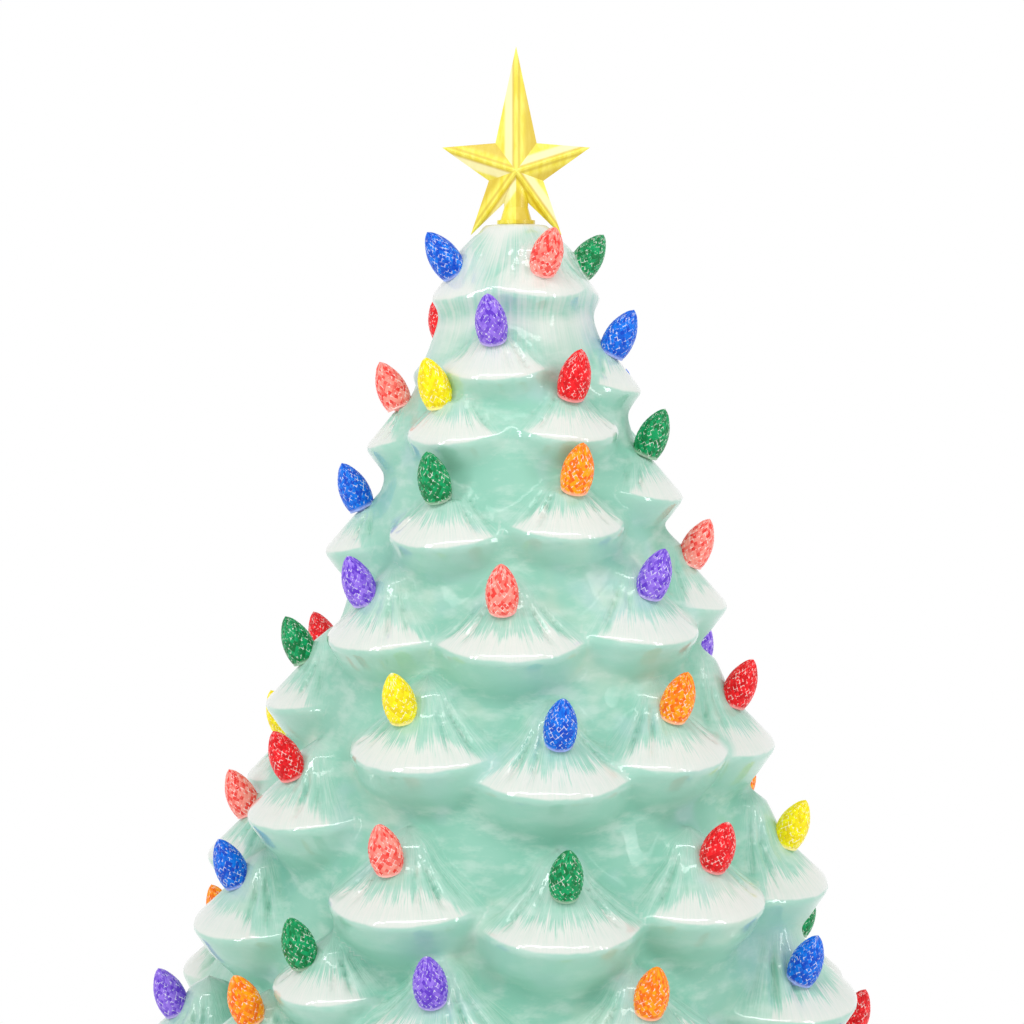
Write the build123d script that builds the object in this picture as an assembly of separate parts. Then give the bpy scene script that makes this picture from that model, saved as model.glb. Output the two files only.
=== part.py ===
from build123d import *
import os
from math import cos, degrees, radians, sin, tan, atan2, hypot

# A table-top ceramic Christmas tree: a hollow cast tree on a pedestal, lit from inside.
# Frame: origin on the floor under the middle, +Z up, front towards -Y. Millimetres and degrees.
# An angle round the tree is 0 at the front and grows towards +X.

# Castings: pedestal and tree are each written as four quarters that meet on upright planes
QUARTERS = ("front", "right", "back", "left")
SEAM_ANGLE = 50.0

# Pedestal
PAD_HEIGHT = 2.0
PAD_RADIUS = 5.0
PAD_COUNT = 4
PAD_START = 45.0
BASE_FOOT_RADIUS = 78.0
BASE_FOOT_EDGE = 7.0
BASE_WAIST_RADIUS = 62.0
BASE_WAIST_HEIGHT = 27.0
BASE_SHOULDER_RADIUS = 67.0
BASE_HEIGHT = 46.0
BASE_WALL = 5.0
BASE_OPENING = 63.0
BASE_FLOOR = 4.5
BASE_EDGE_ROUND = 2.0
SPIGOT_WALL = 5.0
SPIGOT_HEIGHT = 8.0
SPIGOT_CLEARANCE = 0.5

# Tree body, heights above its hem
TREE_HEIGHT = 280.0
TREE_WALL = 4.5
HEM_RADIUS = 64.5
SKIRT_RADIUS = 88.0
SKIRT_HEIGHT = 15.0
CORE_LOW_RADIUS = 88.5
CORE_LOW_HEIGHT = 55.0
CORE_HIGH_RADIUS = 35.0
CORE_HIGH_HEIGHT = 221.0
CORE_TOP_RADIUS = 18.5
CORE_TOP_HEIGHT = 267.0
CROWN_RADIUS = 10.2
CROWN_ROUND = 2.5
CROWN_THICKNESS = 8.0
DRILL_OVERRUN = 2.0
SEAT_RADIUS_AT_HEM = 121.2
SEAT_TAPER = 0.376
SEAT_RADIUS_LIMIT = 110.0

# Boughs: a flared top, a rounded rim and a bowl-shaped underside, turned about a leaning axis
FLARE_ANGLE = 43.0
ROOT_ANGLE = 58.0
PEAK_ROUND = 8.0
BELLY_ANGLE = 50.0
BELLY_FLOOR_ANGLE = 25.0
BELLY_FLOOR_SHARE = 0.5
BELLY_ROUND = 8.0
RIM_ROUND = 2.8
DROOP_AT_HEM = 2.0
DROOP_AT_CROWN = 15.0

# Each row: seat height above the hem, bough radius, reach from bulb seat to rim and bulb tilt,
# then each bough's angle, lift above the row, sideways place of its bulb and the bulb's colour
ROWS = [
    (265.0, 19.0, 9.0, 36.0, [
        (-65, 0, 0, "blue"), (23, 1, 0, "pink"), (112, 0, 0, "green"), (202, 0, 0, "yellow")]),
    (243.0, 19.0, 13.0, 28.0, [
        (-14, 2, 0, "purple"), (76, -3, 0, "blue"), (172, 0, 0, "orange"), (227, 0, 0, "red")]),
    (226.0, 19.0, 14.5, 24.0, [
        (-33, 1, -5, "yellow"), (28, 2, 0, "red"), (125, -6, 0, "blue"), (200, 0, 0, "purple"),
        (268, -3, 0, "pink")]),
    (200.0, 21.0, 15.5, 24.0, [
        (-88, -9, 0, "blue"), (-29, -2, -1, "green"), (20, 1, 2, "orange"), (72, 9, 0, "green"),
        (146, 2, 0, "red"), (184, -4, 0, "yellow"), (230, -4, 0, "pink")]),
    (168.0, 25.0, 15.5, 24.0, [
        (-47, -1, -5, "purple"), (-2, -1, -2, "pink"), (44, 1, 0, "purple"), (81, 6, 0, "pink"),
        (132, 0, 0, "orange"), (176, 0, 0, "blue"), (218, 0, 0, "green")]),
    (132.0, 26.0, 16.0, 24.0, [
        (-87, 10, 0, "green"), (-25, 4, -4, "yellow"), (9, -2, 1, "blue"), (41, 2, 0, "orange"),
        (155, 0, 0, "yellow"), (186, 0, 0, "red"), (216, 0, 0, "blue"), (245, 6, 0, "red")]),
    (132.0, 30.0, 16.0, 24.0, [
        (71, 0, 0, "red"), (122, 0, 0, "purple")]),
    (92.0, 26.0, 16.0, 24.0, [
        (-88, 0, 0, "pink"), (-60, 21, 0, "red"), (-24, 3, -2, "pink"), (9, -2, 0, "green"),
        (41, 0, 1, "red"), (152, 0, 0, "green"), (182, 0, 0, "purple"), (212, 0, 0, "blue"),
        (238, -4, 0, "green"), (255, 21, 0, "yellow")]),
    (87.0, 30.0, 16.0, 24.0, [
        (73, 1, 0, "yellow"), (121, -3, 0, "orange")]),
    (67.0, 20.0, 12.0, 22.0, [
        (-37, 0, -5, "green")]),
    (58.0, 26.0, 16.0, 22.0, [
        (-70, 19, 0, "blue"), (-14, 4, 0, "purple"), (22, 0, 0, "orange"), (138, 6, 0, "pink"),
        (168, 0, 0, "yellow"), (198, 0, 0, "red"), (226, 4, 0, "purple"), (251, -16, 0, "orange")]),
    (56.0, 30.0, 16.0, 22.0, [
        (64, 0, -10, "blue"), (114, -19, 0, "green")]),
    (47.0, 22.0, 14.0, 22.0, [
        (-50, 0, 2, "orange")]),
    (24.0, 25.0, 14.0, 22.0, [
        (-82, 6, 0, "purple"), (-19, -2, 0, "green"), (10, -2, 0, "yellow"), (39, -2, 0, "pink"),
        (66, -6, 0, "purple"), (92, -8, 0, "red"), (138, 0, 0, "blue"), (166, 0, 0, "orange"),
        (194, 0, 0, "green"), (214, 0, 0, "pink"), (234, 0, 0, "blue")]),
]

# Bulbs: a peg in the wall and an egg standing on a spot face
BULB_LENGTH = 16.0
BULB_RADIUS = 4.85
BULB_BELLY_HEIGHT = 4.8
BULB_BASE_RADIUS = 4.1
BULB_SHOULDER_RADIUS = 3.4
BULB_SHOULDER_HEIGHT = 11.3
BULB_LIP = 0.6
BULB_SUNK = 1.0
PEG_RADIUS = 2.1
PEG_LENGTH = 9.0
PEG_CLEARANCE = 0.3
SEAT_GAP = 0.1

# Star
STAR_ARM = 24.4
STAR_TOP_ARM = 38.7
STAR_UPPER_NOTCH = 11.0
STAR_SIDE_NOTCH = 9.0
STAR_LOWER_NOTCH = 6.0
STAR_HALF_DEPTH = 5.5
STAR_EDGE = 1.2
STAR_CENTRE = 16.3
STEM_RADIUS = 3.8
STEM_LENGTH = 13.0
STEM_CLEARANCE = 0.4
COLLAR_RADIUS = 6.0
COLLAR_HEIGHT = 1.2
STEM_FLARE = 1.2
STEM_FLARE_HEIGHT = 4.0

# Battery housing
PLATE_HEIGHT = 5.0
PLATE_THICKNESS = 2.5
PLATE_CLEARANCE = 0.5
HOUSING_WALL = 2.0
NECK_RADIUS = 14.0
NECK_BORE = 10.0
NECK_LENGTH = 36.0
NECK_CLEARANCE = 0.5
FLANGE_RADIUS = 24.0
FLANGE_HEIGHT = 3.0
LOCK_RING_RADIUS = 22.0
LOCK_RING_HEIGHT = 6.0
LOCK_RING_CLEARANCE = 0.3
LOCK_RING_NOTCHES = 12
LOCK_RING_NOTCH = 1.6
WASHER_RADIUS = 21.0
WASHER_HEIGHT = 1.5
WASHER_CLEARANCE = 0.8

# Battery cells and contacts
CELL_RADIUS = 7.25
CELL_LENGTH = 50.5
CELL_NUB_RADIUS = 2.75
CELL_NUB_LENGTH = 1.0
CELL_PITCH = 15.0
CELL_CLEARANCE = 0.4
CONTACT_THICKNESS = 0.5
CONTACT_WIDTH = 9.0
CONTACT_HEIGHT = 11.0
CONTACT_GAP = 0.2
SPRING_DEPTH = 4.5
SPRING_HEIGHT = 9.0
SPRING_WIDTH = 6.0
TAG_WIDTH = 3.0
TAG_RISE = 5.0
SLIT_CLEARANCE = 0.3

# Light board and diffuser
BOARD_THICKNESS = 1.6
EMITTER_SIDE = 5.0
EMITTER_HEIGHT = 1.6
EMITTER_RING = 7.0
EMITTER_COUNT = 4
EMITTER_START = 45.0
SCREW_RADIUS = 1.0
SCREW_LENGTH = 8.0
SCREW_HEAD_RADIUS = 1.9
SCREW_HEAD_HEIGHT = 1.4
SCREW_CLEARANCE = 0.2
DIFFUSER_WALL = 1.6
DIFFUSER_SHOULDER = 20.0
DIFFUSER_CLEARANCE = 0.4

# Battery door
DOOR_THICKNESS = 2.0
DOOR_GAP = 0.3
DOOR_LAP = 7.0
DOOR_CORNER = 3.0
DOOR_TRAVEL = 8.0
HOOK_WIDTH = 2.4
HOOK_STEM = 3.0
HOOK_LAP = 4.0
HOOK_THICKNESS = 1.4
HOOK_SPREAD = 14.0
HOOK_MARGIN = 1.4
HOOK_CLEARANCE = 0.4
GRIP_COUNT = 5
GRIP_PITCH = 3.0
GRIP_LENGTH = 18.0
GRIP_GROOVE = 1.2
GRIP_DEPTH = 0.6
GRIP_PLACE = 12.0

# Slide switch
SWITCH_PLACE = 47.0
SWITCH_LENGTH = 16.0
SWITCH_WIDTH = 9.0
SWITCH_HEIGHT = 6.0
KNOB_LENGTH = 5.0
KNOB_WIDTH = 3.6
KNOB_REACH = 1.8
KNOB_ROOT = 2.0
KNOB_LIP = 1.0
KNOB_CLEARANCE = 0.3
KNOB_THROW = 3.0

# Leads
LEAD_RADIUS = 0.7
LEAD_BEND = 6.0
LEAD_GAP = 0.2
LEAD_LIFT = 3.0
LEAD_HIGH_LIFT = 7.0
LEAD_LANE = 5.5
LEAD_SLOT = 4.0
TERMINAL_SPREAD = 4.5

# Heights and places worked out from the sizes above
HEM = BASE_HEIGHT
CROWN = HEM + TREE_HEIGHT
DECK_UNDERSIDE = BASE_HEIGHT - BASE_WALL
PLATE_TOP = PLATE_HEIGHT + PLATE_THICKNESS
DOOR_TOP = PLATE_HEIGHT - DOOR_GAP
DOOR_BOTTOM = DOOR_TOP - DOOR_THICKNESS
CELL_AXIS = DOOR_TOP + CELL_CLEARANCE + CELL_RADIUS
WELL_CEILING = CELL_AXIS + CELL_RADIUS + CELL_CLEARANCE
WELL_ROOF = WELL_CEILING + HOUSING_WALL
WELL_LENGTH = CELL_LENGTH + SPRING_DEPTH + 2 * CONTACT_THICKNESS + 2 * CONTACT_GAP
WELL_WIDTH = 2 * CELL_PITCH + 2 * CELL_RADIUS + 2 * CELL_CLEARANCE
RING_BOTTOM = BASE_HEIGHT + WASHER_HEIGHT
RING_TOP = RING_BOTTOM + LOCK_RING_HEIGHT
NECK_TOP = WELL_ROOF + NECK_LENGTH
BOARD_TOP = NECK_TOP + BOARD_THICKNESS
SCREW_RING = (NECK_BORE + NECK_RADIUS) / 2
CELL_ROWS = (-CELL_PITCH, 0, CELL_PITCH)
TAG_STANDOFF = WELL_LENGTH / 2 - CONTACT_THICKNESS - LEAD_GAP - LEAD_RADIUS
HOOK_PLACE = WELL_LENGTH / 2 + HOUSING_WALL + HOOK_MARGIN + HOOK_WIDTH / 2
SWITCH_TOP = PLATE_TOP + SWITCH_HEIGHT
NEGATIVE_START = Vector(-TAG_STANDOFF, CELL_ROWS[0], WELL_ROOF + LEAD_LIFT)
POSITIVE_START = Vector(TAG_STANDOFF, CELL_ROWS[-1], WELL_ROOF + LEAD_LIFT)
SWITCHED_START = Vector(-TERMINAL_SPREAD, SWITCH_PLACE, SWITCH_TOP + LEAD_GAP)
COLOURS = sorted({bough[3] for row in ROWS for bough in row[-1]})


def turned(profile):
    """A solid of revolution about Z from a closed outline in the XZ plane."""
    return revolve(make_face(Plane.XZ * profile), Axis.Z)


def peg(radius, bottom, top):
    """A cylinder about Z between two heights."""
    return Pos(0, 0, (bottom + top) / 2) * Cylinder(radius, top - bottom)


def ring(outer, inner, bottom, top):
    """A flat ring about Z between two heights."""
    return peg(outer, bottom, top) - peg(inner, bottom, top)


def block(length, width, bottom, top):
    """A box about Z between two heights."""
    return Pos(0, 0, (bottom + top) / 2) * Box(length, width, top - bottom)


def outwards(angle):
    """The level direction away from the tree's axis at an angle."""
    return Vector(sin(radians(angle)), -cos(radians(angle)), 0)


def seat_radius(height):
    """Distance of a bulb's seat from the tree's axis."""
    return min(SEAT_RADIUS_LIMIT, SEAT_RADIUS_AT_HEM - SEAT_TAPER * height)


def droop(height):
    """How far a bough leans outwards."""
    return DROOP_AT_HEM + (DROOP_AT_CROWN - DROOP_AT_HEM) * height / TREE_HEIGHT


def leaning_plane(origin, angle, lean):
    """A frame whose Z leans outwards from upright and whose X points out and down."""
    away = outwards(angle)
    up = Vector(0, 0, 1)
    side = away * cos(radians(lean)) - up * sin(radians(lean))
    axis = away * sin(radians(lean)) + up * cos(radians(lean))
    return Plane(origin, x_dir=side, z_dir=axis)


def top_height(distance, radius, reach):
    """Height of a bough's top above its rim, at a distance from its axis."""
    knee = radius - reach
    flare = (radius - max(distance, knee)) * tan(radians(FLARE_ANGLE))
    return flare + max(0, knee - distance) * tan(radians(ROOT_ANGLE))


def bough_places():
    """Every bough as its radius, reach, own frame, bulb frame and bulb colour."""
    for row_height, radius, reach, tilt, row in ROWS:
        for angle, lift, sideways, colour in row:
            height = row_height + lift
            seat = outwards(angle) * seat_radius(height) + Vector(0, 0, HEM + height)
            lean = droop(height)
            knee = radius - reach
            rise = top_height(knee, radius, reach)
            heart = leaning_plane(seat, angle, lean).from_local_coords(Vector(-knee, 0, -rise))
            frame = leaning_plane(heart, angle, lean)
            bulb_rise = top_height(hypot(knee, sideways), radius, reach)
            foot = frame.from_local_coords(Vector(knee, sideways, bulb_rise))
            bulb_angle = degrees(atan2(foot.X, -foot.Y))
            bulb_frame = leaning_plane(foot, bulb_angle, tilt).offset(-BULB_SUNK)
            yield radius, reach, frame, bulb_frame, colour


def bough_form(radius, reach, inset):
    """One bough turned about its axis, or its hollow when inset by the wall."""
    flare, root, belly = radians(FLARE_ANGLE), radians(ROOT_ANGLE), radians(BELLY_ANGLE)
    back = inset * (1 / cos(flare) + 1 / cos(belly)) / (tan(flare) + tan(belly))
    rim = radius - back
    level = back * tan(flare) - inset / cos(flare)
    knee = radius - reach
    knee_height = level + (rim - knee) * tan(flare)
    peak = knee_height + knee * tan(root)
    floor = rim * BELLY_FLOOR_SHARE
    floor_height = level - (rim - floor) * tan(belly)
    pole = floor_height - floor * tan(radians(BELLY_FLOOR_ANGLE))
    cap = peak - PEAK_ROUND / cos(root)
    cap_start = (PEAK_ROUND * sin(root), cap + PEAK_ROUND * cos(root))
    cap_middle = (PEAK_ROUND * sin(root / 2), cap + PEAK_ROUND * cos(root / 2))
    outline = ThreePointArc((0, cap + PEAK_ROUND), cap_middle, cap_start)
    outline += Polyline(cap_start, (knee, knee_height), (rim, level), (floor, floor_height), (0, pole))
    outline += Line((0, pole), (0, cap + PEAK_ROUND))
    face = make_face(outline)
    if not inset:
        face = rounded_corner(face, (rim, level), RIM_ROUND)
        face = rounded_corner(face, (floor, floor_height), BELLY_ROUND)
    return revolve(Plane.XZ * face, Axis.Z)


def rounded_corner(face, corner, radius):
    """A flat outline with one corner rounded."""
    nearest = face.vertices().sort_by_distance(Vector(*corner))[0]
    return fillet(nearest, radius)


def tree_core(inset):
    """The tapering core that the boughs grow from, or its hollow when inset by the wall."""
    top = TREE_HEIGHT - (CROWN_THICKNESS if inset else 0)
    outline = Polyline(
        (0, 0),
        (HEM_RADIUS - inset, 0),
        (SKIRT_RADIUS - inset, SKIRT_HEIGHT + inset),
        (CORE_LOW_RADIUS - inset, CORE_LOW_HEIGHT),
        (CORE_HIGH_RADIUS - inset, CORE_HIGH_HEIGHT),
        (CORE_TOP_RADIUS - inset, CORE_TOP_HEIGHT - inset),
        (CROWN_RADIUS - inset, top),
        (0, top),
        close=True,
    )
    face = make_face(outline)
    if not inset:
        face = rounded_corner(face, (CROWN_RADIUS, top), CROWN_ROUND)
    return Pos(0, 0, HEM) * revolve(Plane.XZ * face, Axis.Z)


def tree_form(inset):
    """Core and boughs together."""
    grown = []
    for radius, reach, frame, bulb_frame, colour in bough_places():
        grown.append(frame.location * bough_form(radius, reach, inset))
    return tree_core(inset).fuse(*grown)


def tree_shell():
    """The cast body: outer form less its hollow, the star's hole and the bulb seats."""
    bottom = CROWN - CROWN_THICKNESS - DRILL_OVERRUN
    cuts = [peg(STEM_RADIUS + STEM_CLEARANCE, bottom, CROWN + DRILL_OVERRUN)]
    for radius, reach, frame, bulb_frame, colour in bough_places():
        hole = peg(PEG_RADIUS + PEG_CLEARANCE, -PEG_LENGTH - DRILL_OVERRUN, DRILL_OVERRUN)
        spot = peg(BULB_RADIUS + PEG_CLEARANCE, 0, BULB_LENGTH)
        cuts.append(bulb_frame.location * (hole + spot))
    return tree_form(0) - tree_form(TREE_WALL) - cuts


def quarters(name, casting):
    """A round casting parted by two upright planes, each quarter with its node's name."""
    width = 360 / len(QUARTERS)
    parts = casting.solids()
    for turn in (SEAM_ANGLE, SEAM_ANGLE + width):
        seam = Plane((0, 0, 0), z_dir=outwards(turn))
        parts = [half for whole in parts for half in split(whole, seam, keep=Keep.BOTH).solids()]
    for place, side in enumerate(QUARTERS):
        middle = outwards(SEAM_ANGLE + width * (place - 0.5))
        yield f"{name}_{side}", max(parts, key=lambda part: part.center().dot(middle))


def bulb_form():
    """One bulb standing on the XY plane, its peg below."""
    base = SEAT_GAP + BULB_LIP
    egg = Spline(
        (BULB_BASE_RADIUS, base),
        (BULB_RADIUS, BULB_BELLY_HEIGHT),
        (BULB_SHOULDER_RADIUS, BULB_SHOULDER_HEIGHT),
        (0, BULB_LENGTH),
        tangents=((0, 1), (-1, 0)),
    )
    foot = Polyline(
        (0, BULB_LENGTH),
        (0, -PEG_LENGTH),
        (PEG_RADIUS, -PEG_LENGTH),
        (PEG_RADIUS, SEAT_GAP),
        (BULB_BASE_RADIUS, SEAT_GAP),
        (BULB_BASE_RADIUS, base),
    )
    return turned(egg + foot)


def bulbs(wanted):
    """All bulbs of one colour."""
    form = bulb_form()
    places = [bulb_frame for *_, bulb_frame, colour in bough_places() if colour == wanted]
    return [place.location * form for place in places]


def star_topper():
    """A five-armed star, ridged front and back, on its stem."""
    arms = (STAR_TOP_ARM, STAR_ARM, STAR_ARM, STAR_ARM, STAR_ARM)
    notches = (STAR_UPPER_NOTCH, STAR_SIDE_NOTCH, STAR_LOWER_NOTCH, STAR_SIDE_NOTCH, STAR_UPPER_NOTCH)
    turn = 360 / len(arms)
    points = []
    for step, (arm, notch) in enumerate(zip(arms, notches)):
        points.append(polar(arm, 90 - turn * step))
        points.append(polar(notch, 90 - turn * (step + 0.5)))
    upright = Plane((0, 0, CROWN + STAR_CENTRE), x_dir=(1, 0, 0), z_dir=(0, -1, 0))
    star = extrude(upright * make_face(Polyline(*points, close=True)), STAR_EDGE / 2, both=True)
    for side in (1, -1):
        flat = Wire.make_polygon([Vector(*point) for point in points])
        rim = upright.offset(side * STAR_EDGE / 2) * flat
        tip = Vertex(*upright.from_local_coords(Vector(0, 0, side * STAR_HALF_DEPTH)))
        star += Solid.make_loft([rim, tip], ruled=True)
    stem = peg(STEM_RADIUS, CROWN - STEM_LENGTH, CROWN + STAR_CENTRE)
    collar = peg(COLLAR_RADIUS, CROWN, CROWN + COLLAR_HEIGHT)
    flare = Cone(STEM_RADIUS + STEM_FLARE, STEM_RADIUS, STEM_FLARE_HEIGHT)
    return star + stem + collar + Pos(0, 0, CROWN + COLLAR_HEIGHT + STEM_FLARE_HEIGHT / 2) * flare


def polar(radius, angle):
    """A flat point from its distance and angle."""
    return radius * cos(radians(angle)), radius * sin(radians(angle))


def base_shell():
    """The hollow pedestal with its inturned floor, the deck's hole and the ring that centres the tree."""
    foot_top = PAD_HEIGHT + BASE_FOOT_EDGE
    cove = ThreePointArc(
        (BASE_FOOT_RADIUS, foot_top),
        (BASE_WAIST_RADIUS, BASE_WAIST_HEIGHT),
        (BASE_SHOULDER_RADIUS, BASE_HEIGHT),
    )
    rest = Polyline(
        (BASE_SHOULDER_RADIUS, BASE_HEIGHT),
        (0, BASE_HEIGHT),
        (0, PAD_HEIGHT),
        (BASE_FOOT_RADIUS, PAD_HEIGHT),
        (BASE_FOOT_RADIUS, foot_top),
    )
    face = make_face(cove + rest)
    face = rounded_corner(face, (BASE_FOOT_RADIUS, foot_top), BASE_EDGE_ROUND)
    body = revolve(Plane.XZ * face, Axis.Z)
    underside = body.faces().sort_by(Axis.Z)[0]
    body = offset(body, -BASE_WALL, openings=underside)
    body += ring(BASE_FOOT_RADIUS - BASE_WALL / 2, BASE_OPENING, PAD_HEIGHT, PAD_HEIGHT + BASE_FLOOR)
    spigot = HEM_RADIUS - TREE_WALL - SPIGOT_CLEARANCE
    body += ring(spigot, spigot - SPIGOT_WALL, BASE_HEIGHT, BASE_HEIGHT + SPIGOT_HEIGHT)
    return body - peg(NECK_RADIUS + NECK_CLEARANCE, DECK_UNDERSIDE, BASE_HEIGHT)


def foot_pads():
    """Rubber pads under the pedestal's floor."""
    middle = (BASE_OPENING + BASE_FOOT_RADIUS) / 2
    pad = peg(PAD_RADIUS, 0, PAD_HEIGHT)
    return [place * pad for place in PolarLocations(middle, PAD_COUNT, start_angle=PAD_START)]


def module_housing():
    """Plate, battery well and hollow neck in one moulding."""
    body = peg(BASE_OPENING - PLATE_CLEARANCE, PLATE_HEIGHT, PLATE_TOP)
    body += block(WELL_LENGTH + 2 * HOUSING_WALL, WELL_WIDTH + 2 * HOUSING_WALL, PLATE_HEIGHT, WELL_ROOF)
    body += peg(NECK_RADIUS, WELL_CEILING, NECK_TOP)
    body += peg(FLANGE_RADIUS, DECK_UNDERSIDE - FLANGE_HEIGHT, DECK_UNDERSIDE)
    cuts = [
        block(WELL_LENGTH, WELL_WIDTH, PLATE_HEIGHT, WELL_CEILING),
        peg(NECK_BORE, WELL_ROOF, NECK_TOP),
        switch_window(),
    ]
    slit_thickness = CONTACT_THICKNESS + 2 * SLIT_CLEARANCE
    slit = block(slit_thickness, TAG_WIDTH + 2 * SLIT_CLEARANCE, WELL_CEILING, WELL_ROOF)
    for side, row in ((-1, CELL_ROWS[0]), (1, CELL_ROWS[-1])):
        cuts.append(Pos(side * (WELL_LENGTH - CONTACT_THICKNESS) / 2, row, 0) * slit)
    lead_slot = block(2 * NECK_RADIUS, LEAD_SLOT, WELL_ROOF, WELL_ROOF + LEAD_HIGH_LIFT + LEAD_SLOT / 2)
    for start in (NEGATIVE_START, SWITCHED_START):
        cuts.append(Rot(0, 0, degrees(atan2(start.Y, start.X))) * Pos(NECK_RADIUS, 0, 0) * lead_slot)
    slot_width = HOOK_WIDTH + 2 * HOOK_CLEARANCE
    slot_length = HOOK_STEM + DOOR_TRAVEL + 2 * HOOK_CLEARANCE
    hook_slot = Pos(0, DOOR_TRAVEL / 2, 0) * block(slot_width, slot_length, PLATE_HEIGHT, PLATE_TOP)
    for place in hook_places():
        cuts.append(place * hook_slot)
    for place in screw_places():
        cuts.append(place * peg(SCREW_RADIUS + SCREW_CLEARANCE, NECK_TOP - SCREW_LENGTH, NECK_TOP))
    return body - cuts


def lock_ring():
    """The nut that clamps the neck to the deck, notched for grip."""
    body = ring(LOCK_RING_RADIUS, NECK_RADIUS + LOCK_RING_CLEARANCE, RING_BOTTOM, RING_TOP)
    notch = peg(LOCK_RING_NOTCH, RING_BOTTOM, RING_TOP)
    return body - [place * notch for place in PolarLocations(LOCK_RING_RADIUS, LOCK_RING_NOTCHES)]


def sealing_washer():
    """The soft washer between lock ring and deck."""
    return ring(WASHER_RADIUS, NECK_RADIUS + WASHER_CLEARANCE, BASE_HEIGHT, RING_BOTTOM)


def screw_places():
    """Where the board is screwed to the neck."""
    return [Pos(0, side * SCREW_RING, 0) for side in (-1, 1)]


def led_board():
    """The round light board on top of the neck."""
    hole = peg(SCREW_RADIUS + SCREW_CLEARANCE, NECK_TOP, BOARD_TOP)
    return peg(NECK_RADIUS, NECK_TOP, BOARD_TOP) - [place * hole for place in screw_places()]


def led_emitters():
    """One emitter in the middle of the board and a ring round it."""
    emitter = block(EMITTER_SIDE, EMITTER_SIDE, BOARD_TOP, BOARD_TOP + EMITTER_HEIGHT)
    around = PolarLocations(EMITTER_RING, EMITTER_COUNT, start_angle=EMITTER_START)
    return [emitter] + [place * emitter for place in around]


def board_screws():
    """The two screws of the board."""
    screw = peg(SCREW_RADIUS, BOARD_TOP - SCREW_LENGTH, BOARD_TOP)
    screw += peg(SCREW_HEAD_RADIUS, BOARD_TOP, BOARD_TOP + SCREW_HEAD_HEIGHT)
    return [place * screw for place in screw_places()]


def led_diffuser():
    """The domed frosted cap that stands on the lock ring."""
    inner = NECK_RADIUS + DIFFUSER_CLEARANCE
    outer = inner + DIFFUSER_WALL
    shoulder = BOARD_TOP + DIFFUSER_SHOULDER
    cap = peg(outer, RING_TOP, shoulder) + Pos(0, 0, shoulder) * Sphere(outer)
    return cap - peg(inner, RING_TOP, shoulder) - Pos(0, 0, shoulder) * Sphere(inner)


def battery_cells():
    """Three cells side by side, every other one turned round."""
    can = peg(CELL_RADIUS, 0, CELL_LENGTH - CELL_NUB_LENGTH)
    can += peg(CELL_NUB_RADIUS, CELL_LENGTH - CELL_NUB_LENGTH, CELL_LENGTH)
    start = WELL_LENGTH / 2 - CONTACT_THICKNESS - SPRING_DEPTH - CONTACT_GAP
    cells = []
    for row, flip in zip(CELL_ROWS, (0, 180, 0)):
        cells.append(Pos(0, row, CELL_AXIS) * Rot(0, 0, flip) * Pos(-start, 0, 0) * Rot(0, 90, 0) * can)
    return cells


def contact(first, last, sprung=None, tagged=None):
    """A plate on the well's end wall behind some cells, with a leaf spring or a solder tag."""
    middle = (first + last) / 2
    width = last - first + CONTACT_WIDTH
    low = CELL_AXIS - CONTACT_HEIGHT / 2
    plate = Pos(0, middle, 0) * block(CONTACT_THICKNESS, width, low, low + CONTACT_HEIGHT)
    if sprung is not None:
        plate += Pos(CONTACT_THICKNESS / 2, sprung, CELL_AXIS) * leaf_spring()
    if tagged is not None:
        plate += Pos(0, tagged, 0) * block(CONTACT_THICKNESS, TAG_WIDTH, CELL_AXIS, WELL_ROOF + TAG_RISE)
    return Pos(-(WELL_LENGTH - CONTACT_THICKNESS) / 2, 0, 0) * plate


def leaf_spring():
    """A bowed strip standing on its plate, bulging along X."""
    half = SPRING_HEIGHT / 2
    inner_half = half - CONTACT_THICKNESS
    inner = ThreePointArc((0, -inner_half), (SPRING_DEPTH - CONTACT_THICKNESS, 0), (0, inner_half))
    outer = ThreePointArc((0, -half), (SPRING_DEPTH, 0), (0, half))
    ends = Line(inner @ 0, outer @ 0) + Line(inner @ 1, outer @ 1)
    return extrude(Plane.XZ * make_face(inner + outer + ends), SPRING_WIDTH / 2, both=True)


def battery_links():
    """The two plates that join neighbouring cells end to end."""
    left = contact(CELL_ROWS[1], CELL_ROWS[2], sprung=CELL_ROWS[2])
    right = Rot(0, 0, 180) * contact(CELL_ROWS[1], CELL_ROWS[2], sprung=CELL_ROWS[1])
    return [left, right]


def contact_negative():
    """The sprung end plate with the negative tag."""
    return contact(CELL_ROWS[0], CELL_ROWS[0], sprung=CELL_ROWS[0], tagged=CELL_ROWS[0])


def contact_positive():
    """The flat end plate with the positive tag."""
    return Rot(0, 0, 180) * contact(CELL_ROWS[0], CELL_ROWS[0], tagged=CELL_ROWS[0])


def hook_places():
    """Where the door's hooks stand."""
    return GridLocations(2 * HOOK_PLACE, 2 * HOOK_SPREAD, 2, 2).locations


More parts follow.
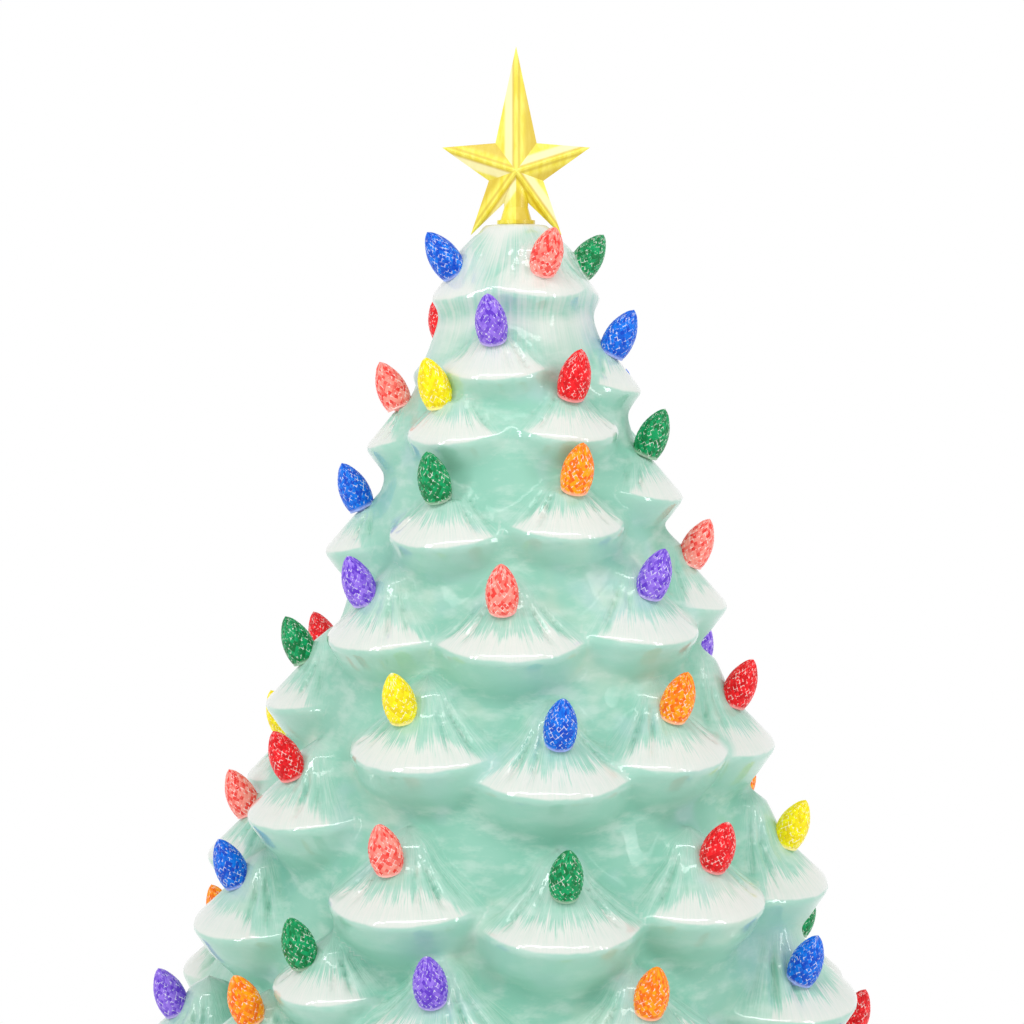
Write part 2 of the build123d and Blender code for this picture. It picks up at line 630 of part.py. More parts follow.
def battery_door():
    """The door: a rounded plate, four hooks through the housing's plate and grip grooves."""
    outline = RectangleRounded(WELL_LENGTH + 2 * DOOR_LAP, WELL_WIDTH + 2 * DOOR_LAP, DOOR_CORNER)
    door = extrude(Pos(0, 0, DOOR_BOTTOM) * outline, DOOR_THICKNESS)
    head = PLATE_TOP + DOOR_GAP
    hook = block(HOOK_WIDTH, HOOK_STEM, DOOR_TOP, head + HOOK_THICKNESS)
    hook += Pos(0, -HOOK_LAP / 2, 0) * block(HOOK_WIDTH, HOOK_STEM + HOOK_LAP, head, head + HOOK_THICKNESS)
    groove = block(GRIP_LENGTH, GRIP_GROOVE, DOOR_BOTTOM, DOOR_BOTTOM + GRIP_DEPTH)
    grips = GridLocations(GRIP_PITCH, GRIP_PITCH, 1, GRIP_COUNT)
    grooves = [Pos(0, GRIP_PLACE, 0) * place * groove for place in grips]
    return door + [place * hook for place in hook_places()] - grooves


def switch_window():
    """The slot in the plate that the knob slides in."""
    length = KNOB_LENGTH + KNOB_THROW + 2 * KNOB_CLEARANCE
    return Pos(0, SWITCH_PLACE, 0) * block(length, KNOB_WIDTH + 2 * KNOB_CLEARANCE, PLATE_HEIGHT, PLATE_TOP)


def switch_body():
    """The slide switch's case on the plate, hollow for the knob's root."""
    case = block(SWITCH_LENGTH, SWITCH_WIDTH, PLATE_TOP, SWITCH_TOP)
    length = KNOB_LENGTH + 2 * KNOB_LIP + KNOB_THROW + 2 * KNOB_CLEARANCE
    width = KNOB_WIDTH + 2 * KNOB_LIP + 2 * KNOB_CLEARANCE
    case -= block(length, width, PLATE_TOP, PLATE_TOP + KNOB_ROOT + 2 * KNOB_CLEARANCE)
    return Pos(0, SWITCH_PLACE, 0) * case


def switch_knob():
    """The knob at the off end of its slot, its root caught above the plate."""
    root = PLATE_TOP + KNOB_CLEARANCE
    knob = block(KNOB_LENGTH, KNOB_WIDTH, PLATE_HEIGHT - KNOB_REACH, root)
    knob += block(KNOB_LENGTH + 2 * KNOB_LIP, KNOB_WIDTH + 2 * KNOB_LIP, root, root + KNOB_ROOT)
    return Pos(-KNOB_THROW / 2, SWITCH_PLACE, 0) * knob


def lead(*points):
    """A wire of straight runs and round bends."""
    path = FilletPolyline(*points, radius=LEAD_BEND)
    start = Plane(path @ 0, z_dir=path % 0)
    return sweep(start * Circle(LEAD_RADIUS), path=path)


def lane(start, height):
    """The place inside the neck's bore on the way from a lead's start."""
    reach = hypot(start.X, start.Y)
    return Vector(start.X * LEAD_LANE / reach, start.Y * LEAD_LANE / reach, height)


def lead_negative():
    """From the negative tag, through the neck's side, up to the board."""
    turn = lane(NEGATIVE_START, NEGATIVE_START.Z)
    return lead(NEGATIVE_START, turn, Vector(turn.X, turn.Y, NECK_TOP - LEAD_GAP))


def lead_positive():
    """From the positive tag over to the switch."""
    over = Vector(TERMINAL_SPREAD, SWITCH_PLACE, POSITIVE_START.Z)
    return lead(POSITIVE_START, over, Vector(over.X, over.Y, SWITCH_TOP + LEAD_GAP))


def lead_switched():
    """From the switch, through the neck's side, up to the board."""
    high = WELL_ROOF + LEAD_HIGH_LIFT
    over = Vector(SWITCHED_START.X, SWITCHED_START.Y, high)
    turn = lane(SWITCHED_START, high)
    return lead(SWITCHED_START, over, turn, Vector(turn.X, turn.Y, NECK_TOP - LEAD_GAP))


def save(node, piece):
    """Write one node, whether one solid or a group."""
    solids = piece if isinstance(piece, list) else [piece]
    export_step(Compound(children=[Compound(solid.wrapped) for solid in solids]), f"parts/{node}.step")


PIECES = [
    foot_pads, module_housing, lock_ring, sealing_washer, led_board, led_emitters, board_screws,
    led_diffuser, battery_cells, battery_links, contact_negative, contact_positive, battery_door,
    switch_body, switch_knob, lead_negative, lead_positive, lead_switched, star_topper,
]

os.makedirs("parts", exist_ok=True)
for make in PIECES:
    save(make.__name__, make())
for name, casting in (("base", base_shell()), ("tree", tree_shell())):
    for node, quarter in quarters(name, casting):
        save(node, quarter)
for colour in COLOURS:
    save(f"bulbs_{colour}", bulbs(colour))
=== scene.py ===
import math

import bpy
import numpy as np
import openvdb
from mathutils import Matrix, Vector


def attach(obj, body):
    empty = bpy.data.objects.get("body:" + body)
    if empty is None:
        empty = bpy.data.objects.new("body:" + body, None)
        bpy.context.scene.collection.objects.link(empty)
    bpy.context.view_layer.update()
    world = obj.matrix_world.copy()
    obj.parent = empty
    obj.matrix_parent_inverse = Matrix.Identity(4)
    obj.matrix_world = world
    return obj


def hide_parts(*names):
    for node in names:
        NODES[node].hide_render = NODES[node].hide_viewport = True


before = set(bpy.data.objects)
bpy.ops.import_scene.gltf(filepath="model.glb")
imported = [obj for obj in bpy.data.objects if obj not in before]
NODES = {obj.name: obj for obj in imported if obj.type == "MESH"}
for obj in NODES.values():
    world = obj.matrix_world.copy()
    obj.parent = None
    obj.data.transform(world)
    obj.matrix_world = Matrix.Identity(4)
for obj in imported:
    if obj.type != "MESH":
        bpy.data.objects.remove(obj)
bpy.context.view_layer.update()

# The looks of a glazed ceramic Christmas tree with plastic bulbs and a plastic star.
# Forms are reckoned in millimetres and written in metres.

MM = 0.001
UP = np.array((0.0, 0.0, 1.0))
FAR = 1e9
FULL_TURN = 6.28

# Casting: heights above the floor, bores at the hem and the crown, and the core's outline above the hem
HEM = 46.0
TREE_HEIGHT = 280.0
CROWN = HEM + TREE_HEIGHT
WALL = 4.5
HEM_BORE, HEM_BORE_HIGH = 60.0, 7.0
STEM_BORE, STEM_BORE_DEEP = 4.2, 14.0
CORE = [(64.5, 0), (88, 15), (88.5, 55), (35, 221), (18.5, 267), (10.2, 280)]
CORE_ROUNDS = [0, 6, 10, 20, 8, 2.5]
PAST_AXIS = 20
CORNER_SHARE = 0.49

# Boughs: place and lean by height, then slopes and rounds of their outline
SEAT_LOW, SEAT_TAPER, SEAT_LIMIT = 121.2, 0.376, 110.0
DROOP_LOW, DROOP_HIGH = 2.0, 15.0
FLARE, ROOT = math.radians(37), math.radians(58)
BELLY, BELLY_FLOOR = math.radians(56), math.radians(25)
PEAK_ROUND, SHOULDER_ROUND, KNEE_ROUND = 8.0, 3.0, 12.0
RIM_ROUND, CHEEK_ROUND, BELLY_ROUND = 2.8, 10.0, 8.0
RIM_TRIM = 0.4
BULB_SUNK = 1.0

# Cheeks under the rim: drop and inward run as shares of the radius, and their share at the very front
CHEEK_DROP, CHEEK_IN = 0.42, 0.09
FRONT_CHEEK = 0.35

# Combs carved in a bough's shoulders: teeth in a turn, depth, where they lie and how far they spread,
# and the shares of its radius at which they start and end, each with its fade
COMB_TEETH, COMB_DEPTH = 18, 2.3
COMB_PLACES, COMB_SPREAD = (0.7, 1.25), 0.42
COMB_START, COMB_START_FADE = 0.25, 0.15
COMB_END, COMB_END_FADE = 0.86, 0.2
FIRST_SEED = 5

# Each row: seat height above the hem, bough radius, reach from bulb to rim, bulb tilt,
# then each bough's angle round the tree, lift, sideways place of its bulb and bulb colour
ROWS = [
    (265, 19, 9, 36, [
        (-65, 0, 0, "blue"), (23, 1, 0, "pink"), (112, 0, 0, "green"), (202, 0, 0, "yellow")]),
    (243, 19, 13, 28, [
        (-14, 2, 0, "purple"), (76, -3, 0, "blue"), (172, 0, 0, "orange"), (227, 0, 0, "red")]),
    (226, 19, 14.5, 24, [
        (-33, 1, -5, "yellow"), (28, 2, 0, "red"), (125, -6, 0, "blue"), (200, 0, 0, "purple"),
        (268, -3, 0, "pink")]),
    (200, 21, 15.5, 24, [
        (-88, -9, 0, "blue"), (-29, -2, -1, "green"), (20, 1, 2, "orange"), (72, 9, 0, "green"),
        (146, 2, 0, "red"), (184, -4, 0, "yellow"), (230, -4, 0, "pink")]),
    (168, 25, 15.5, 24, [
        (-47, -1, -5, "purple"), (-2, -1, -2, "pink"), (44, 1, 0, "purple"), (81, 6, 0, "pink"),
        (132, 0, 0, "orange"), (176, 0, 0, "blue"), (218, 0, 0, "green")]),
    (132, 26, 16, 24, [
        (-87, 10, 0, "green"), (-25, 4, -4, "yellow"), (9, -2, 1, "blue"), (41, 2, 0, "orange"),
        (155, 0, 0, "yellow"), (186, 0, 0, "red"), (216, 0, 0, "blue"), (245, 6, 0, "red")]),
    (132, 30, 16, 24, [
        (71, 0, 0, "red"), (122, 0, 0, "purple")]),
    (92, 26, 16, 24, [
        (-88, 0, 0, "pink"), (-60, 21, 0, "red"), (-24, 3, -2, "pink"), (9, -2, 0, "green"),
        (41, 0, 1, "red"), (152, 0, 0, "green"), (182, 0, 0, "purple"), (212, 0, 0, "blue"),
        (238, -4, 0, "green"), (255, 21, 0, "yellow")]),
    (87, 30, 16, 24, [
        (73, 1, 0, "yellow"), (121, -3, 0, "orange")]),
    (67, 20, 12, 22, [
        (-37, 0, -5, "green")]),
    (58, 26, 16, 22, [
        (-70, 19, 0, "blue"), (-14, 4, 0, "purple"), (22, 0, 0, "orange"), (138, 6, 0, "pink"),
        (168, 0, 0, "yellow"), (198, 0, 0, "red"), (226, 4, 0, "purple"), (251, -16, 0, "orange")]),
    (56, 30, 16, 22, [
        (64, 0, -10, "blue"), (114, -19, 0, "green")]),
    (47, 22, 14, 22, [
        (-50, 0, 2, "orange")]),
    (24, 25, 14, 22, [
        (-82, 6, 0, "purple"), (-19, -2, 0, "green"), (10, -2, 0, "yellow"), (39, -2, 0, "pink"),
        (66, -6, 0, "purple"), (92, -8, 0, "red"), (138, 0, 0, "blue"), (166, 0, 0, "orange"),
        (194, 0, 0, "green"), (214, 0, 0, "pink"), (234, 0, 0, "blue")]),
]


def facing(angle):
    """Level direction at an angle round the tree, from its front."""
    turn = math.radians(angle)
    return np.array((math.sin(turn), -math.cos(turn), 0.0))


def leaning(angle, lean):
    """Rows out-and-down, sideways and up of axes that lean outwards at an angle round the tree."""
    away, tip = facing(angle), math.radians(lean)
    side = away * math.cos(tip) - UP * math.sin(tip)
    axis = away * math.sin(tip) + UP * math.cos(tip)
    return np.array((side, np.cross(axis, side), axis))


def softened(points, rounds, steps=5):
    """A closed outline with its corners rounded."""
    out = []
    for place, reach in enumerate(rounds):
        corner = np.array(points[place], float)
        back = np.array(points[place - 1], float) - corner
        on = np.array(points[(place + 1) % len(points)], float) - corner
        if not reach:
            out.append(tuple(corner))
            continue
        back_length, on_length = np.linalg.norm(back), np.linalg.norm(on)
        back, on = back / back_length, on / on_length
        half = math.acos(np.clip(back @ on, -1, 1)) / 2
        run = min(reach / math.tan(half), back_length * CORNER_SHARE, on_length * CORNER_SHARE)
        start, end = corner + back * run, corner + on * run
        for share in np.linspace(0, 1, steps):
            low = start + (corner - start) * share
            high = corner + (end - corner) * share
            out.append(tuple(low + (high - low) * share))
    return out


def outline_distance(points, across, up):
    """Signed distance to a closed outline, negative inside."""
    nearest = np.full(across.shape, FAR, np.float32)
    inside = np.zeros(across.shape, bool)
    for (x0, y0), (x1, y1) in zip(points, points[1:] + points[:1]):
        dx, dy = x1 - x0, y1 - y0
        px, py = across - np.float32(x0), up - np.float32(y0)
        share = np.clip((px * dx + py * dy) / (dx * dx + dy * dy), 0, 1)
        nearest = np.minimum(nearest, (px - share * dx) ** 2 + (py - share * dy) ** 2)
        crosses = (up >= y0) != (up >= y1)
        inside ^= crosses & ((px * dy - py * dx) * np.sign(dy) < 0)
    return np.where(inside, -1, 1) * np.sqrt(nearest)


class Bough:
    """One bough: its turned outline, its own axes and the place of its bulb."""

    def __init__(self, number, height, radius, reach, tilt, angle, lift, sideways, colour):
        self.number, self.radius, self.reach, self.colour = number, radius, reach, colour
        height += lift
        seat_radius = min(SEAT_LIMIT, SEAT_LOW - SEAT_TAPER * height)
        seat = facing(angle) * seat_radius + UP * (HEM + height)
        self.axes = leaning(angle, DROOP_LOW + (DROOP_HIGH - DROOP_LOW) * height / TREE_HEIGHT)
        knee = radius - reach
        self.heart = seat - knee * self.axes[0] - self.rise(knee) * self.axes[2]
        local = np.array((knee, sideways, self.rise(math.hypot(knee, sideways))))
        foot = self.heart + local @ self.axes
        self.bulb_axes = leaning(math.degrees(math.atan2(foot[0], -foot[1])), tilt)
        self.foot = foot - BULB_SUNK * self.bulb_axes[2]
        self.outline = self.make_outline(0.0)
        self.side_outline = self.make_outline(1.0)
        self.top = max(y for _, y in self.outline)
        self.bottom = min(y for _, y in self.outline)
        self.chance = np.random.default_rng(number + FIRST_SEED)
        self.grooves = [side * self.chance.uniform(*COMB_PLACES) for side in (-1, 1)]
        self.phase = self.chance.uniform(0, FULL_TURN)

    def rise(self, distance):
        """Height of the top above the rim at a distance from the axis."""
        knee = self.radius - self.reach
        flare = (self.radius - max(distance, knee)) * math.tan(FLARE)
        return flare + max(0, knee - distance) * math.tan(ROOT)

    def make_outline(self, upright):
        """Closed outline of the turned form, whose cheek runs from undercut at 0 to upright at 1."""
        radius, knee = self.radius, self.radius - self.reach
        rim = radius - RIM_TRIM
        knee_rise = self.reach * math.tan(FLARE)
        cap = knee_rise + knee * math.tan(ROOT) - PEAK_ROUND / math.cos(ROOT)
        shoulder = (PEAK_ROUND * math.sin(ROOT), cap + PEAK_ROUND * math.cos(ROOT))
        floor = radius / 2
        floor_rise = -(radius - floor) * math.tan(BELLY)
        pole = floor_rise - floor * math.tan(BELLY_FLOOR)
        slope = math.cos(BELLY) / math.sin(BELLY)
        cheek = radius * CHEEK_DROP
        cheek_in = (radius * CHEEK_IN) * upright + cheek * slope * (1 - upright)
        corners = [
            (-radius / 2, cap + PEAK_ROUND, 0),
            (0, cap + PEAK_ROUND, 0),
            (*shoulder, SHOULDER_ROUND),
            (knee, knee_rise, KNEE_ROUND),
            (rim, 0, RIM_ROUND),
            (rim - cheek_in, -cheek, CHEEK_ROUND),
            (floor, floor_rise, BELLY_ROUND),
            (0, pole, 0),
            (-radius / 2, pole, 0),
        ]
        return softened([corner[:2] for corner in corners], [corner[2] for corner in corners])

    def local(self, points):
        """Points in the bough's own axes, as distance, turn and height."""
        away = points - self.heart.astype(np.float32)
        x, y, z = np.moveaxis(away @ self.axes.T.astype(np.float32), -1, 0)
        return np.sqrt(x * x + y * y), np.arctan2(y, x), z

    def plain_distance(self, out, turn, up):
        """Signed distance to the bough, undercut in front and upright at its sides."""
        aside = FRONT_CHEEK + (1 - FRONT_CHEEK) * np.sin(turn) ** 2
        front = outline_distance(self.outline, out, up)
        return front * (1 - aside) + outline_distance(self.side_outline, out, up) * aside

    def distance(self, points):
        """Signed distance to the bough with its carved combs."""
        out, turn, up = self.local(points)
        away = self.plain_distance(out, turn, up)
        comb = np.maximum(0, np.cos(turn * COMB_TEETH + self.phase)) ** 2
        patch = sum(np.exp(-((turn - place) / COMB_SPREAD) ** 2) for place in self.grooves)
        share = out / self.radius
        start = np.clip((share - COMB_START) / COMB_START_FADE, 0, 1)
        end = np.clip((COMB_END - share) / COMB_END_FADE, 0, 1)
        return away + COMB_DEPTH * comb * np.minimum(patch, 1) * (start * end) * (up > 0)


BOUGHS = []
for *shape, places in ROWS:
    for place in places:
        BOUGHS.append(Bough(len(BOUGHS), *shape, *place))


# Tree body from a field of distances, joined softly and dropped a little to stay inside the casting's box

VOXEL = 1.1
SOFT = 1.5
MARGIN = 8.0
SKIN_DROP = 0.25
FIELD_LOW = np.array((-126.0, -125.0, 24.0))
FIELD_HIGH = np.array((126.0, 125.0, 331.0))
COUNT = np.ceil((FIELD_HIGH - FIELD_LOW) / VOXEL).astype(int)
LAST_PLACE = COUNT - 1.001
TICKS = [(FIELD_LOW[k] + VOXEL * np.arange(COUNT[k])).astype(np.float32) for k in range(3)]
CORE_TABLE = np.arange(0, 182, 0.5, dtype=np.float32)
LEAST_SHARE = 1e-4

# Marks for the paint: what the bare core is given, the fade of snow at the crown, how far a bough reaches,
# the width of the seam between boughs, and the reach over which hollows are told from edges
CORE_TURN, CORE_ALONG, CORE_NUMBER = 0.8, 5.0, -3.0
CROWN_MARK, CROWN_FADE = 45, 20
BOUGH_REACH = 1.9
SEAM = 3.5
DEEP_REACH, DEEP_LIMIT = 6, 12


def core_outline():
    """Closed outline of the tapering core, in height above the floor."""
    points = [(-PAST_AXIS, TREE_HEIGHT), (-PAST_AXIS, 0)] + CORE
    return [(x, y + HEM) for x, y in softened(points, [0, 0] + CORE_ROUNDS)]


def nearness(distance):
    """Share that adds up to a soft join, large inside a form and falling off outside."""
    return np.exp(-np.clip(distance, -25, 60) / SOFT)


def tree_field():
    """Distance to the softly joined core and boughs at every tick."""
    level = np.sqrt(TICKS[0][:, None] ** 2 + TICKS[1][None, :] ** 2)
    table = outline_distance(core_outline(), *np.meshgrid(CORE_TABLE, TICKS[2], indexing="ij"))
    total = np.empty(tuple(COUNT), np.float32)
    for k in range(COUNT[2]):
        total[:, :, k] = nearness(np.interp(level, CORE_TABLE, table[:, k]))
    for bough in BOUGHS:
        box = (bough.radius, bough.radius, (bough.top - bough.bottom) / 2)
        half = np.abs(bough.axes.T) @ box + MARGIN
        middle = bough.heart + bough.axes[2] * (bough.top + bough.bottom) / 2
        first = np.maximum(0, np.floor((middle - half - FIELD_LOW) / VOXEL)).astype(int)
        last = np.minimum(COUNT, np.ceil((middle + half - FIELD_LOW) / VOXEL)).astype(int)
        part = tuple(slice(a, b) for a, b in zip(first, last))
        points = np.stack(np.meshgrid(*[TICKS[k][part[k]] for k in range(3)], indexing="ij"), -1)
        total[part] += nearness(bough.distance(points))
    return SKIN_DROP - SOFT * np.log(np.maximum(total, LEAST_SHARE))


def blurred(field, reach):
    """A field averaged over a box, twice."""
    width = 2 * reach + 1
    for axis in (0, 1, 2, 0, 1, 2):
        ends = [(reach + 1, reach) if k == axis else (0, 0) for k in range(3)]
        run = np.cumsum(np.pad(field, ends, mode="edge"), axis=axis, dtype=np.float64)
        upper = np.take(run, np.arange(width, run.shape[axis]), axis=axis)
        lower = np.take(run, np.arange(run.shape[axis] - width), axis=axis)
        field = ((upper - lower) / width).astype(np.float32)
    return field


def sampled(field, points):
    """Field values between ticks."""
    place = np.clip((points - FIELD_LOW) / VOXEL, 0, LAST_PLACE)
    low = place.astype(int)
    share = place - low
    value = 0
    for corner in np.ndindex(2, 2, 2):
        weight = np.ones(len(points))
        for axis, step in enumerate(corner):
            weight = weight * (share[:, axis] if step else 1 - share[:, axis])
        i, j, k = (low + corner).T
        value = value + weight * field[i, j, k]
    return value


def make_mesh(name, points, faces, smooth=True):
    """A mesh object in metres from millimetre points and same-sided faces."""
    mesh = bpy.data.meshes.new(name)
    sides = faces.shape[1]
    mesh.vertices.add(len(points))
    mesh.vertices.foreach_set("co", (np.asarray(points) * MM).astype(np.float32).ravel())
    mesh.loops.add(faces.size)
    mesh.loops.foreach_set("vertex_index", faces.astype(np.int32).ravel())
    mesh.polygons.add(len(faces))
    mesh.polygons.foreach_set("loop_start", np.arange(len(faces), dtype=np.int32) * sides)
    mesh.polygons.foreach_set("use_smooth", np.full(len(faces), smooth))
    mesh.update(calc_edges=True)
    mesh.validate()
    made = bpy.data.objects.new(name, mesh)
    bpy.context.scene.collection.objects.link(made)
    return made


def mark(made, name, values):
    """Numbers or vectors at a piece's points, for its material to read."""
    kind, key = ("FLOAT_VECTOR", "vector") if values.ndim == 2 else ("FLOAT", "value")
    layer = made.data.attributes.new(name, kind, "POINT")
    layer.data.foreach_set(key, values.astype(np.float32).ravel())


def bough_marks(points):
    """Each point's nearest bough as turn, height along its side and number, and how clear it is of others."""
    count = len(points)
    nearest = outline_distance(core_outline(), np.hypot(points[:, 0], points[:, 1]), points[:, 2])
    second = np.full(count, FAR)
    bearing = np.arctan2(points[:, 0], -points[:, 1])
    marks = np.stack((bearing * CORE_TURN, np.full(count, CORE_ALONG), np.full(count, CORE_NUMBER)), 1)
    for bough in BOUGHS:
        off = ((points - bough.heart) ** 2).sum(1)
        near = np.flatnonzero(off < (bough.radius * BOUGH_REACH) ** 2)
        out, turn, up = bough.local(points[near].astype(np.float32))
        away = bough.plain_distance(out, turn, up)
        second[near] = np.minimum(second[near], np.maximum(nearest[near], away))
        won = away < nearest[near]
        nearest[near[won]] = away[won]
        along = np.where(up > 0, up / math.sin(FLARE), up / math.sin(BELLY))
        marks[near[won]] = np.stack((turn, along, np.full(len(near), bough.number)), 1)[won]
    clear = np.clip((second - nearest) / SEAM, 0, 1)
    crown = np.clip((points[:, 2] - CROWN + CROWN_MARK) / CROWN_FADE, 0, 1)
    return marks, np.where(marks[:, 2] < 0, clear * crown, clear)


def tree_body(glaze, bisque):
    """The hollow cast body with marks for its paint."""
    field = tree_field()
    level = np.sqrt(TICKS[0][:, None, None] ** 2 + TICKS[1][None, :, None] ** 2)
    height = TICKS[2][None, None, :]
    shell = np.abs(field + WALL / 2) - WALL / 2
    shell = np.maximum(shell, -np.maximum(level - HEM_BORE, height - HEM - HEM_BORE_HIGH))
    shell = np.maximum(shell, -np.maximum(level - STEM_BORE, CROWN - STEM_BORE_DEEP - height))
    grid = openvdb.FloatGrid(WALL)
    grid.copyFromArray(shell.astype(np.float32))
    points, quads = grid.convertToQuads(isovalue=0.0)
    points = points * VOXEL + FIELD_LOW
    made = make_mesh("tree_body", points, quads[:, ::-1])
    bough, clear = bough_marks(points)
    broad = blurred(np.clip(field, -DEEP_LIMIT, DEEP_LIMIT), round(DEEP_REACH / VOXEL))
    mark(made, "bough", bough)
    mark(made, "clear", clear)
    mark(made, "deep", sampled(broad, points))
    inner = sampled(field, points) < -WALL / 2
    made.data.materials.append(glaze)
    made.data.materials.append(bisque)
    made.data.polygons.foreach_set("material_index", inner[quads].all(1).astype(np.int32))
    return made


# Materials

def srgb(red, green, blue):
    """Linear colour from screen values up to 255."""
    shares = (red / 255, green / 255, blue / 255)
    linear = [v / 12.92 if v <= 0.04045 else ((v + 0.055) / 1.055) ** 2.4 for v in shares]
    return (*linear, 1)


class Wire:
    """An output in a node tree that can be reckoned with like a number."""

    def __init__(self, nodes, socket):
        self.nodes, self.socket = nodes, socket

    def beside(self, output):
        """Another output of the same node."""
        return Wire(self.nodes, self.socket.node.outputs[output])

    def __add__(self, other):
        return self.nodes.reckon("ADD", self, other)

    def __sub__(self, other):
        return self.nodes.reckon("SUBTRACT", self, other)

    def __rsub__(self, other):
        return self.nodes.reckon("SUBTRACT", other, self)

    def __mul__(self, other):
        return self.nodes.reckon("MULTIPLY", self, other)

    def __truediv__(self, other):
        return self.nodes.reckon("DIVIDE", self, other)

    def __rtruediv__(self, other):
        return self.nodes.reckon("DIVIDE", other, self)

    def __abs__(self):
        return self.nodes.reckon("ABSOLUTE", self)

    __radd__ = __add__
    __rmul__ = __mul__


class Nodes:
    """A node tree being put together."""

    def __init__(self, tree):
        self.tree = tree

    def node(self, kind, settings, inputs, output=0):
        """A new node with its settings, then its socket values and links."""
        made = self.tree.nodes.new(kind)
        for key, value in settings.items():
            setattr(made, key, value)
        self.fill(made, inputs)
        return Wire(self, made.outputs[output])

    def fill(self, made, inputs):
        """Socket values and links of a node."""
        for key, value in inputs.items():
            if isinstance(value, Wire):
                self.tree.links.new(value.socket, made.inputs[key])
            else:
                made.inputs[key].default_value = value

    def reckon(self, operation, first, second=0.0):
        return self.node("ShaderNodeMath", {"operation": operation}, {0: first, 1: second})


class Look(Nodes):
    """A material being put together."""

    def __init__(self, name):
        self.material = bpy.data.materials.new(name)
        self.material.use_nodes = True
        super().__init__(self.material.node_tree)
        self.surface = self.tree.nodes["Principled BSDF"]

    def attribute(self, name, output="Fac"):
        return self.node("ShaderNodeAttribute", {"attribute_name": name}, {}, output)

    def place(self):
        return self.node("ShaderNodeTexCoord", {}, {}, "Object")

    def parts(self, vector):
        """The three numbers in a vector."""
        first = self.node("ShaderNodeSeparateXYZ", {}, {0: vector})
        return first, first.beside(1), first.beside(2)

    def spread(self, vector, factors):
        return self.node("ShaderNodeVectorMath", {"operation": "MULTIPLY"}, {0: vector, 1: factors})

    def noise(self, vector, scale, detail=2.0, roughness=0.5):
        return self.node("ShaderNodeTexNoise", {}, {
            "Vector": vector, "Scale": scale, "Detail": detail, "Roughness": roughness})

    def step(self, value, low, high):
        """Smooth rise from 0 at low to 1 at high."""
        return self.node("ShaderNodeMapRange", {"interpolation_type": "SMOOTHSTEP"}, {
            "Value": value, "From Min": low, "From Max": high})

    def mix(self, share, first, second):
        """Colour between two."""
        return self.node("ShaderNodeMix", {"data_type": "RGBA"}, {0: share, 6: first, 7: second}, 2)

    def bump(self, height, depth):
        """Relief of a depth in millimetres."""
        return self.node("ShaderNodeBump", {}, {"Height": height, "Strength": 1.0, "Distance": depth * MM})

    def finish(self, **inputs):
        """The surface's own inputs, with underlines for the spaces in their names."""
        self.fill(self.surface, {key.replace("_", " "): value for key, value in inputs.items()})
        return self.material


MINT = srgb(158, 211, 191)
# The darker mint below is painted shade for hollows.
MINT_HOLLOW_SHADE = srgb(116, 187, 162)
MINT_PALE = srgb(204, 228, 216)
CREAM = srgb(226, 226, 208)
SNOW = srgb(229, 231, 224)
# The bluish colour below is painted pearly sheen.
PEARL_SHEEN = srgb(190, 214, 222)

# Brush marks, spread round a bough, along it and from bough to bough, and the half turn that snow covers
STROKES, HAIRS, RAGS = (13.0, 0.08, 7.7), (44.0, 0.13, 3.1), (4.0, 0.05, 5.3)
SNOW_TURN = 1.38
CROWN_SNOW_LOW, CROWN_SNOW_HIGH = 270 * MM, 320 * MM
CROWN_STREAKS_ROUND, CROWN_STREAKS_UP = 20.0, 28.0


def glaze_colour(look, deep, place):
    """Mint with painted shade darkening its hollows, breaking paler on edges, with soft cloudy patches."""
    cloud = look.noise(place, 34.0, 3.0)
    wash = look.noise(look.spread(place, (1.0, 1.0, 2.4)), 90.0, 4.0, 0.6)
    pearl_sheen = look.noise(place, 52.0, 2.0)
    # Painted shade: darker mint where the surface lies in a hollow, standing in for the shade between boughs.
    hollow_shade = look.step(deep + (cloud - 0.5) * 4.0, 1.5, -4.0)
    edge = look.step(deep + (wash - 0.5) * 2.5, 1.6, 4.6)
    colour = look.mix(hollow_shade, MINT, MINT_HOLLOW_SHADE)
    colour = look.mix(edge * 0.8, colour, MINT_PALE)
    colour = look.mix(look.step(wash, 0.42, 0.72) * 0.55, colour, MINT_PALE)
    # Painted sheen: pale bluish patches standing in for the glaze's pearly lustre.
    colour = look.mix(look.step(pearl_sheen, 0.54, 0.74) * 0.35, colour, PEARL_SHEEN)
    return look.mix(look.step(cloud, 0.55, 0.75) * 0.4, colour, CREAM)


